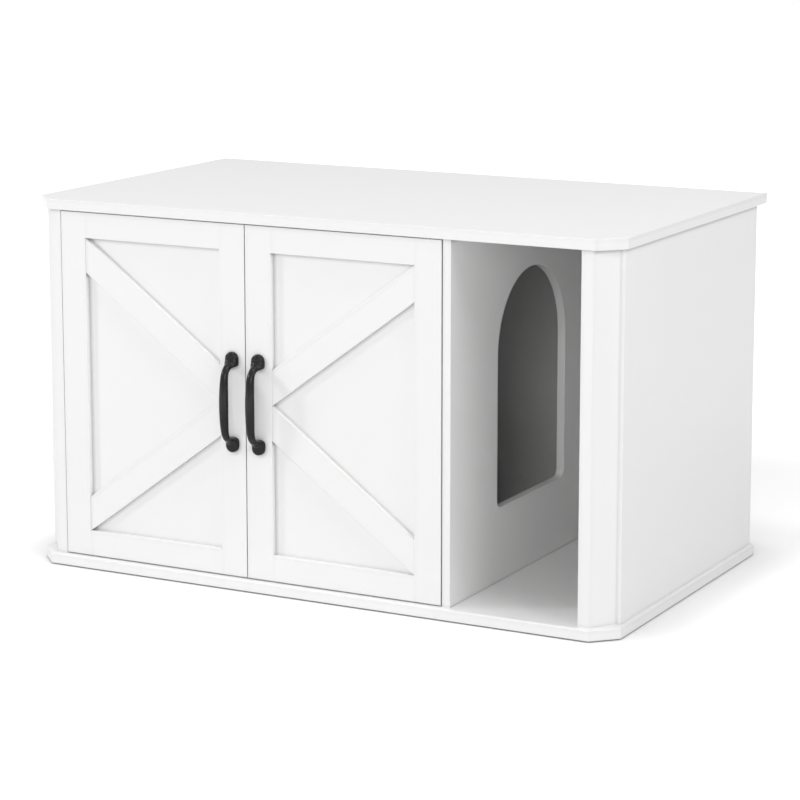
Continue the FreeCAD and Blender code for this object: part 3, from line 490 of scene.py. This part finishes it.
def pullHandle(node):
    low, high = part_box(node)
    middle = Vector(((low.x + high.x) / 2, high.y, (low.z + high.z) / 2))
    reach = (high.z - low.z) / 2
    length = handle["footLength"] * mm
    width = handle["footWidth"] * mm
    thick = handle["footThick"] * mm
    bpy.ops.object.select_all(action="DESELECT")
    bpy.ops.mesh.primitive_cube_add(size=1, location=middle)
    piece = bpy.context.object
    piece.scale = (width, thick, length)
    bpy.ops.object.transform_apply(location=False, rotation=False, scale=True)
    bpy.ops.object.mode_set(mode="EDIT")
    bpy.ops.mesh.select_all(action="SELECT")
    bpy.ops.transform.translate(value=(0, -thick / 2, reach - length / 2))
    rootTop = reach - length + handle["rootLength"] * mm
    bpy.ops.mesh.bisect(plane_co=middle + Vector((0, 0, rootTop)), plane_no=(0, 0, 1))

    def outerCorner(edge):
        ends = [piece.data.vertices[index].co for index in edge.vertices]
        return all(end.z > reach - 1e-5 for end in ends) and abs(ends[0].x - ends[1].x) < 1e-5

    choose(piece, "EDGE", outerCorner)
    bpy.ops.mesh.bevel(offset=handle["endRound"] * mm, segments=handle["endSteps"], affect="EDGES")
    choose(
        piece, "FACE",
        lambda face: face.normal.y < -0.9 and face.center.z < rootTop - 1e-5,
    )
    along = reach - length + handle["rootLength"] * mm / 2
    out = thick
    ringWidth = width
    depth = handle["rootLength"] * mm
    turn = 0
    for nextAlong, nextOut, nextWidth, nextDepth, nextTurn in handle["rings"]:
        nextAlong, nextOut = nextAlong * mm, nextOut * mm
        nextWidth, nextDepth = nextWidth * mm, nextDepth * mm
        bpy.ops.mesh.extrude_region_move(
            TRANSFORM_OT_translate={"value": (0, out - nextOut, nextAlong - along)}
        )
        centre = middle + Vector((0, -nextOut, nextAlong))
        thinner = nextDepth / depth
        bpy.ops.transform.resize(value=(nextWidth / ringWidth, thinner, thinner), center_override=centre)
        bpy.ops.transform.rotate(
            value=-math.radians(nextTurn - turn), orient_axis="X", center_override=centre
        )
        along, out, ringWidth, depth, turn = nextAlong, nextOut, nextWidth, nextDepth, nextTurn
    bpy.ops.mesh.delete(type="FACE")
    leaveEdit(piece)
    addModifier(piece, "MIRROR", use_axis=(False, False, True), merge_threshold=0.05 * mm)
    bpy.ops.object.mode_set(mode="EDIT")
    bpy.ops.mesh.select_all(action="SELECT")
    bpy.ops.mesh.normals_make_consistent(inside=False)
    choose(
        piece, "EDGE",
        lambda edge: all(abs(piece.data.vertices[index].co.y) < 1e-5 for index in edge.vertices),
    )
    bpy.ops.transform.edge_crease(value=1)

    def alongGrip(edge):
        # The four corner lines of the grip, beside its middle.
        ends = [piece.data.vertices[index].co for index in edge.vertices]
        rise = abs(ends[0].z - ends[1].z)
        inMiddle = all(abs(end.z - middle.z) < handle["gripSpan"] * mm for end in ends)
        return inMiddle and rise > abs(ends[0].x - ends[1].x) + abs(ends[0].y - ends[1].y)

    choose(piece, "EDGE", alongGrip)
    bpy.ops.mesh.loop_multi_select(ring=False)
    bpy.ops.transform.edge_crease(value=handle["cornerCrease"])
    leaveEdit(piece)
    addModifier(piece, "SUBSURF", levels=handle["smoothing"], render_levels=handle["smoothing"])
    settle(piece, node, handle["smoothAngle"], flatFaces=False)


for node in ("door_left_handle", "door_right_handle"):
    pullHandle(node)
print("handles modelled")


# Shared steps for the pieces that start from the model's own solid.

flatWithin = math.radians(0.5)  # faces this close to level count as one face


def endsOf(piece, edge):
    return [piece.data.vertices[index].co for index in edge.vertices]


def near(one, other):
    return abs(one - other) < 0.01 * mm


def merged(node, cuts=()):
    # A copy to work on, its loose triangles joined to whole faces. Each cut is a
    # point and a direction, and stays as a line across the faces.
    piece = bpy.data.objects.new(node + "_shaped", nodes[node].data.copy())
    bpy.context.scene.collection.objects.link(piece)
    alone(piece)
    bpy.ops.object.mode_set(mode="EDIT")
    bpy.ops.mesh.select_all(action="SELECT")
    bpy.ops.mesh.remove_doubles(threshold=0.001 * mm)
    bpy.ops.mesh.select_mode(type="EDGE")
    for place, direction in cuts:
        bpy.ops.mesh.select_all(action="SELECT")
        bpy.ops.mesh.bisect(plane_co=place, plane_no=direction)
        bpy.ops.mesh.mark_seam(clear=False)
    bpy.ops.mesh.select_all(action="SELECT")
    bpy.ops.mesh.dissolve_limited(angle_limit=flatWithin, delimit={"SEAM"})
    bpy.ops.mesh.mark_seam(clear=True)
    leaveEdit(piece)
    bpy.ops.mesh.customdata_custom_splitnormals_clear()
    return piece


def solidBoxes(node):
    # Lowest and highest corners of each separate solid of a node.
    alone(merged(node))
    bpy.ops.object.mode_set(mode="EDIT")
    bpy.ops.mesh.select_all(action="SELECT")
    bpy.ops.mesh.separate(type="LOOSE")
    bpy.ops.object.mode_set(mode="OBJECT")
    boxes = []
    for solid in bpy.context.selected_objects:
        places = [corner.co for corner in solid.data.vertices]
        low = Vector([min(place[axis] for place in places) for axis in range(3)])
        high = Vector([max(place[axis] for place in places) for axis in range(3)])
        boxes.append((low, high))
    bpy.ops.object.delete()
    return sorted(boxes, key=lambda box: tuple(box[0]))


def ease(piece, radius, steps, wanted):
    # Rounds the wanted edges, and joins what is level again. The test is given
    # the two ends of an edge.
    choose(piece, "EDGE", lambda edge: wanted(*endsOf(piece, edge)))
    bpy.ops.mesh.bevel(offset=radius, segments=steps, affect="EDGES")
    bpy.ops.mesh.select_all(action="SELECT")
    bpy.ops.mesh.dissolve_limited(angle_limit=flatWithin)
    leaveEdit(piece)


def discard(*pieces):
    for piece in pieces:
        bpy.data.objects.remove(piece)


# Door frames: the front edges round the recess are eased between the corners.

frameEdge = {"round": 1 * mm, "steps": 3, "strip": 5 * mm, "endReach": 1.1}


def easedStile(node, inner, bottom, top):
    # While the edge is rounded, a plain strip beside it keeps it away from the
    # handle's holes.
    low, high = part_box(node)
    front = low.y
    inward = frameEdge["strip"] if near(inner, low.x) else -frameEdge["strip"]
    piece = merged(node, [
        ((inner + inward, 0, 0), (1, 0, 0)), ((0, 0, bottom), (0, 0, 1)), ((0, 0, top), (0, 0, 1)),
    ])

    def besideRecess(one, other):
        height = (one.z + other.z) / 2
        return all(near(end.x, inner) and near(end.y, front) for end in (one, other)) \
            and bottom < height < top

    ease(piece, frameEdge["round"], frameEdge["steps"], besideRecess)

    def atRoundEnd(edge):
        # The small faces that close the rounded edge at its two ends stay crisp,
        # so they don't shade the flat front.
        reach = frameEdge["endReach"] * frameEdge["round"]
        ends = endsOf(piece, edge)
        height = (ends[0].z + ends[1].z) / 2
        beside = all(abs(end.x - inner) < reach and end.y - front < reach for end in ends)
        return beside and not bottom + 0.01 * mm < height < top - 0.01 * mm

    choose(piece, "EDGE", atRoundEnd)
    bpy.ops.mesh.mark_sharp()
    leaveEdit(piece)
    settle(piece, node)


def easedRail(node, level):
    piece = merged(node)
    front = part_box(node)[0].y
    ease(
        piece, frameEdge["round"], frameEdge["steps"],
        lambda one, other: all(near(end.y, front) and near(end.z, level) for end in (one, other)),
    )
    settle(piece, node)


def easedBrace(node):
    piece = merged(node)
    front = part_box(node)[0].y
    ease(
        piece, frameEdge["round"], frameEdge["steps"],
        lambda one, other: near(one.y, front) and near(other.y, front) and abs(one.x - other.x) > mm,
    )
    settle(piece, node)


def easedDoor(door):
    panelLow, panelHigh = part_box(door + "_centre_panel")
    middle = (panelLow.x + panelHigh.x) / 2
    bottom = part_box(door + "_bottom_rail")[1].z
    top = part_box(door + "_top_rail")[0].z
    for stile in ("_hinge_stile", "_meeting_stile"):
        low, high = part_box(door + stile)
        inner = min(low.x, high.x, key=lambda edge: abs(edge - middle))
        easedStile(door + stile, inner, bottom, top)
    easedRail(door + "_bottom_rail", bottom)
    easedRail(door + "_top_rail", top)
    easedBrace(door + "_brace_upper")
    easedBrace(door + "_brace_lower")


doors = ("door_left", "door_right")
for door in doors:
    easedDoor(door)
print("door frames eased")


# Turned fittings: a disc, extruded ring by ring up Z from the face that shows.

def turnedPiece(name, rings, corners):
    radius, height = rings[0]
    bpy.ops.object.select_all(action="DESELECT")
    bpy.ops.mesh.primitive_circle_add(
        vertices=corners, radius=radius * mm, fill_type="NGON", location=(0, 0, height * mm)
    )
    piece = bpy.context.object
    piece.name = name
    bpy.ops.object.transform_apply(location=True, rotation=False, scale=False)
    bpy.ops.object.mode_set(mode="EDIT")
    bpy.ops.mesh.select_all(action="SELECT")
    for nextRadius, nextHeight in rings[1:]:
        bpy.ops.mesh.extrude_region_move(
            TRANSFORM_OT_translate={"value": (0, 0, (nextHeight - height) * mm)}
        )
        growth = nextRadius / radius
        bpy.ops.transform.resize(value=(growth, growth, 1), center_override=(0, 0, nextHeight * mm))
        radius, height = nextRadius, nextHeight
    bpy.ops.mesh.select_all(action="SELECT")
    bpy.ops.mesh.normals_make_consistent(inside=False)
    leaveEdit(piece)
    return piece


def crossBit(width, thick, deep):
    # Driver's bit: four arms drawn out of a square core, narrower at its tip.
    bpy.ops.object.select_all(action="DESELECT")
    bpy.ops.mesh.primitive_cube_add(size=1)
    bit = bpy.context.object
    bit.scale = (thick * mm, thick * mm, 2 * deep * mm)
    bpy.ops.object.transform_apply(location=False, rotation=False, scale=True)
    choose(bit, "FACE", lambda face: abs(face.normal.z) < 0.5)
    bpy.ops.mesh.extrude_faces_move(
        TRANSFORM_OT_shrink_fatten={"value": (width - thick) / 2 * mm}
    )
    choose(bit, "VERT", lambda corner: corner.co.z > 0)
    bpy.ops.transform.resize(value=(0.6, 0.6, 1), center_override=(0, 0, deep * mm))
    bpy.ops.mesh.select_all(action="SELECT")
    bpy.ops.mesh.normals_make_consistent(inside=False)
    leaveEdit(bit)
    return bit


def cutWith(piece, bit):
    addModifier(piece, "BOOLEAN", operation="DIFFERENCE", solver="EXACT", object=bit)


def spread(master, spots, turn=(0, 0, 0)):
    # A copy of the master at each spot, all joined to one.
    bpy.ops.object.select_all(action="DESELECT")
    for place in spots:
        copy = bpy.data.objects.new(master.name + "_set", master.data.copy())
        bpy.context.scene.collection.objects.link(copy)
        copy.location = place
        copy.rotation_euler = turn
        copy.select_set(True)
        bpy.context.view_layer.objects.active = copy
    if len(spots) > 1:
        bpy.ops.object.join()
    alone(bpy.context.view_layer.objects.active)
    bpy.ops.object.transform_apply(location=True, rotation=True, scale=True)
    return bpy.context.view_layer.objects.active


def faceMiddles(node, axis, side):
    # Middle of each solid's outer face: side 0 is its low end, 1 its high end.
    spots = []
    for box in solidBoxes(node):
        middle = (box[0] + box[1]) / 2
        middle[axis] = box[side][axis]
        spots.append(middle)
    return spots


intoFront = (math.pi / 2, 0, 0)  # a piece modelled up Z then points to the front

handleScrew = {
    "rings": [(2.7, 0), (3.5, 0.25), (4, 1), (4, 2.4), (2, 2.4), (2, 22.8), (1.5, 23.4)],
    "corners": 28, "cross": (4.2, 0.9, 1.4),
}
smallScrew = {
    "rings": [(1.8, 0), (2.4, 0.2), (2.8, 0.7), (2.8, 1.5), (1.5, 1.5)],
    "corners": 24, "cross": (3, 0.7, 0.9), "tip": 0.4,
}
backNail = {
    "rings": [(1.5, 0), (2.3, 0.2), (2.75, 0.7), (2.75, 1.2), (1, 1.2), (1, 13.4), (0.2, 15.2)],
    "corners": 16,
}
baseScrew = {
    "rings": [(4.7, 0), (5, 0.25), (3.5, 2.3), (3.5, 14.5), (2.5, 15), (2.5, 46), (0.6, 48)],
    "corners": 28, "socket": 1.7, "socketDeep": 1.15,
}
footGlide = {
    "rings": [(8.4, 0), (9.5, 0.25), (10, 0.8), (10, 1.7), (9.8, 2), (1.5, 2), (1.5, 11.4), (0.8, 12)],
    "corners": 40,
}


def handleScrews():
    screw = turnedPiece("handle_screw", handleScrew["rings"], handleScrew["corners"])
    bit = crossBit(*handleScrew["cross"])
    cutWith(screw, bit)
    for door in doors:
        node = door + "_handle_screws"
        settle(spread(screw, faceMiddles(node, 1, 1), intoFront), node)
    discard(screw, bit)


def smallScrews():
    # The same screw holds the strike plates and, longer, the catch.
    bit = crossBit(*smallScrew["cross"])
    for node, axis, side, turn in (
        ("catch_screws", 2, 0, (0, 0, 0)),
        ("door_left_strike_screw", 1, 1, intoFront),
        ("door_right_strike_screw", 1, 1, intoFront),
    ):
        low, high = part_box(node)
        length = (high[axis] - low[axis]) / mm
        radius = smallScrew["rings"][-1][0]
        tip = [(radius, length - smallScrew["tip"]), (radius / 2, length)]
        screw = turnedPiece("small_screw", smallScrew["rings"] + tip, smallScrew["corners"])
        cutWith(screw, bit)
        settle(spread(screw, faceMiddles(node, axis, side), turn), node)
        discard(screw)
    discard(bit)


def backNails():
    nail = turnedPiece("back_nail", backNail["rings"], backNail["corners"])
    node = "back_panel_nails"
    settle(spread(nail, faceMiddles(node, 1, 1), intoFront), node)
    discard(nail)


def baseScrews():
    screw = turnedPiece("base_screw", baseScrew["rings"], baseScrew["corners"])
    socket = turnedPiece(
        "socket_bit",
        [(baseScrew["socket"], -baseScrew["socketDeep"]), (baseScrew["socket"], baseScrew["socketDeep"])],
        6,
    )
    cutWith(screw, socket)
    settle(spread(screw, faceMiddles("base_screws", 2, 0)), "base_screws")
    discard(screw, socket)


def footGlides():
    glide = turnedPiece("foot_glide", footGlide["rings"], footGlide["corners"])
    settle(spread(glide, faceMiddles("foot_glides", 2, 0)), "foot_glides")
    discard(glide)


handleScrews()
smallScrews()
backNails()
baseScrews()
footGlides()
print("screws, nails and glides turned")


# Dowels: fluted all round, with tapered ends.

dowel = {"corners": 24, "taper": 0.7, "groove": 0.14, "grooveDeep": 0.22}


def flutedDowels():
    node = "wooden_dowels"
    boxes = solidBoxes(node)
    size = boxes[0][1] - boxes[0][0]
    bpy.ops.object.select_all(action="DESELECT")
    bpy.ops.mesh.primitive_cylinder_add(vertices=dowel["corners"], radius=size.x / 2, depth=size.z)
    piece = bpy.context.object
    piece.name = "fluted_dowel"
    ease(piece, dowel["taper"] * mm, 1, lambda one, other: near(one.z, other.z))

    def everyOther(face):
        turn = math.atan2(face.center.y, face.center.x) / (2 * math.pi) * dowel["corners"]
        return abs(face.normal.z) < 0.1 and math.floor(turn) % 2 == 0

    choose(piece, "FACE", everyOther)
    bpy.ops.mesh.inset(
        thickness=dowel["groove"] * mm, depth=-dowel["grooveDeep"] * mm, use_individual=True
    )
    leaveEdit(piece)
    settle(spread(piece, [(low + high) / 2 for low, high in boxes]), node)
    discard(piece)


flutedDowels()


# Cam lock nuts: a turned rim, and a cross recess in the face that shows.

camNut = {"cross": (6.4, 1.5, 2.2), "rim": 0.4}


def camNuts():
    node = "cam_lock_nuts"
    low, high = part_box("divider_panel")
    piece = merged(node)
    faces = {}
    for box in solidBoxes(node):
        middle = (box[0] + box[1]) / 2
        looksLeft = middle.x > low.x - 50 * mm  # those in the left side panel look right
        middle.x = box[0].x if looksLeft else box[1].x
        faces.setdefault(looksLeft, []).append(middle)
    bit = crossBit(*camNut["cross"])
    for looksLeft, spots in faces.items():
        bits = spread(bit, spots, (0, math.pi / 2 if looksLeft else -math.pi / 2, 0))
        cutWith(piece, bits)
        discard(bits)
    settle(piece, node)
    discard(bit)


camNuts()


# Catch: a moulded housing with eased edges, two magnets, and the strike plates.

catch = {"housingEdge": 0.7, "magnetEdge": 0.35, "plateCorner": 2.2, "plateRim": 0.25, "steps": 3}


def onBoxEdge(one, other, low, high):
    # Both ends lie on the same two outer faces of the box.
    shared = 0
    for axis in range(3):
        for face in (low, high):
            shared += near(one[axis], face[axis]) and near(other[axis], face[axis])
    return shared >= 2


def easedBlock(node, radius):
    piece = merged(node)
    boxes = solidBoxes(node)
    ease(
        piece, radius * mm, catch["steps"],
        lambda one, other: any(onBoxEdge(one, other, low, high) for low, high in boxes),
    )
    settle(piece, node)


def strikePlate(node):
    piece = merged(node)
    low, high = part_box(node)
    ease(
        piece, catch["plateCorner"] * mm, 2 * catch["steps"],
        lambda one, other: onBoxEdge(one, other, low, high) and abs(one.y - other.y) > mm / 2,
    )
    rear = high.y

    def rim(one, other):
        for end in (one, other):
            across = min(end.x - low.x, high.x - end.x)
            along = min(end.z - low.z, high.z - end.z)
            atCorner = max(across, along) < catch["plateCorner"] * mm
            if not near(end.y, rear) or not (near(across, 0) or near(along, 0) or atCorner):
                return False
        return True

    ease(piece, catch["plateRim"] * mm, catch["steps"], rim)
    settle(piece, node)


easedBlock("catch_housing", catch["housingEdge"])
easedBlock("catch_magnets", catch["magnetEdge"])
for door in doors:
    strikePlate(door + "_strike_plate")
print("fittings modelled")


# The camera stands where the photograph was taken from. Angles are in radians.

camera = {
    "place": (1.81301, -3.41005, 1.03552), "swing": 0.48678, "dip": 0.17616,
    "lens": 124.55, "sensor": 36, "shiftY": -0.1, "far": 60,
}
bpy.ops.object.camera_add(location=camera["place"])
viewer = bpy.context.object
viewer.name = "viewer"
viewer.rotation_euler = (math.pi / 2 - camera["dip"], 0, camera["swing"])
viewer.data.lens = camera["lens"]
viewer.data.sensor_width = camera["sensor"]
viewer.data.shift_y = camera["shiftY"]
viewer.data.clip_end = camera["far"]
bpy.context.scene.camera = viewer


# Soft studio light: an even room and large softboxes. A level of 1 lights a
# surface that faces the box so that its colour shows about as it is written.

softboxes = {
    # Turn to the left of the front, height angle, distance, side, level.
    "leftBox": (58, 23, 3.4, 0.4, 0.2),
    "entryBox": (-18, 20, 3.6, 1.2, 0.182),
    "rightBox": (-72, 40, 3.6, 1.6, 0.21),
    "overheadBox": (0, 79, 3.4, 0.6, 0.17),
}
room = {"level": 0.43, "backdrop": 1.0}
studioFloor = {
    "side": 24, "tone": (0.96, 0.96, 0.96, 1), "rough": 0.9, "gloss": 0.1,
    # The floor is lifted to white where it is seen, and it is all white from the far
    # distance on. Beside the base the lift is cut where the floor is occluded, which
    # paints a contact shade on top of the real one.
    "lift": 0.3, "contact": 0.1, "contactPower": 3, "nearEnd": 0.8, "farStart": 1.6,
}


def softbox(name, turn, height, distance, side, level):
    turn, height = math.radians(turn), math.radians(height)
    flat = distance * math.cos(height)
    middle = (cadBounds[0] + cadBounds[1]) / 2
    offset = Vector((-flat * math.sin(turn), -flat * math.cos(turn), distance * math.sin(height)))
    bpy.ops.object.light_add(type="AREA", location=middle + offset)
    lamp = bpy.context.object
    lamp.name = name
    lamp.rotation_euler = (-offset).to_track_quat("-Z", "Y").to_euler()
    lamp.data.shape = "SQUARE"
    lamp.data.size = side
    lamp.data.energy = level * math.pi ** 2 * distance ** 2


for name, box in softboxes.items():
    softbox(name, *box)


def seenDirectly(tree):
    # 1 where the camera, a reflection or a view through glass looks at it.
    path = addNode(tree, "LightPath")
    seen = mathNode(tree, "MAXIMUM", path.outputs["Is Camera Ray"], path.outputs["Is Glossy Ray"])
    return mathNode(tree, "MAXIMUM", seen, path.outputs["Is Transmission Ray"])


def evenRoom():
    world = bpy.data.worlds.new("evenRoom")
    bpy.context.scene.world = world
    world.use_nodes = True
    tree = world.node_tree
    shade = tree.nodes["Background"]
    shade.inputs["Color"].default_value = (1, 1, 1, 1)
    mix = addNode(tree, "Mix", data_type="FLOAT")
    mix.inputs["A"].default_value = room["level"]
    mix.inputs["B"].default_value = room["backdrop"]
    tree.links.new(seenDirectly(tree), mix.inputs["Factor"])
    tree.links.new(mix.outputs["Result"], shade.inputs["Strength"])


def paleFloor():
    bpy.ops.object.select_all(action="DESELECT")
    bpy.ops.mesh.primitive_plane_add(size=studioFloor["side"], location=(0, 0, 0))
    floor = bpy.context.object
    floor.name = "studioFloor"
    material, tree, shader = startMaterial("studioFloor")
    shader.inputs["Base Color"].default_value = studioFloor["tone"]
    shader.inputs["Roughness"].default_value = studioFloor["rough"]
    shader.inputs["Specular IOR Level"].default_value = studioFloor["gloss"]
    shader.inputs["Emission Color"].default_value = (1, 1, 1, 1)
    unshaded = addNode(tree, "AmbientOcclusion", samples=8)
    unshaded.inputs["Distance"].default_value = studioFloor["contact"]
    away = addNode(tree, "VectorMath", operation="LENGTH")
    tree.links.new(addNode(tree, "TexCoord").outputs["Object"], away.inputs[0])
    rise = addNode(tree, "MapRange", interpolation_type="SMOOTHSTEP")
    tree.links.new(away.outputs["Value"], rise.inputs["Value"])
    rise.inputs["From Min"].default_value = studioFloor["nearEnd"]
    rise.inputs["From Max"].default_value = studioFloor["farStart"]
    rise.inputs["To Min"].default_value = studioFloor["lift"]
    rise.inputs["To Max"].default_value = 1
    # Painted shade: the lift fades with ambient occlusion beside the base.
    beside = mathNode(tree, "POWER", unshaded.outputs["AO"], studioFloor["contactPower"])
    clear = mathNode(tree, "MULTIPLY", rise.outputs["Result"], beside)
    lift = mathNode(tree, "MULTIPLY", seenDirectly(tree), clear)
    tree.links.new(lift, shader.inputs["Emission Strength"])
    floor.data.materials.append(material)


evenRoom()
paleFloor()
bpy.context.scene.view_settings.view_transform = "Standard"
print("camera, lights and floor set")
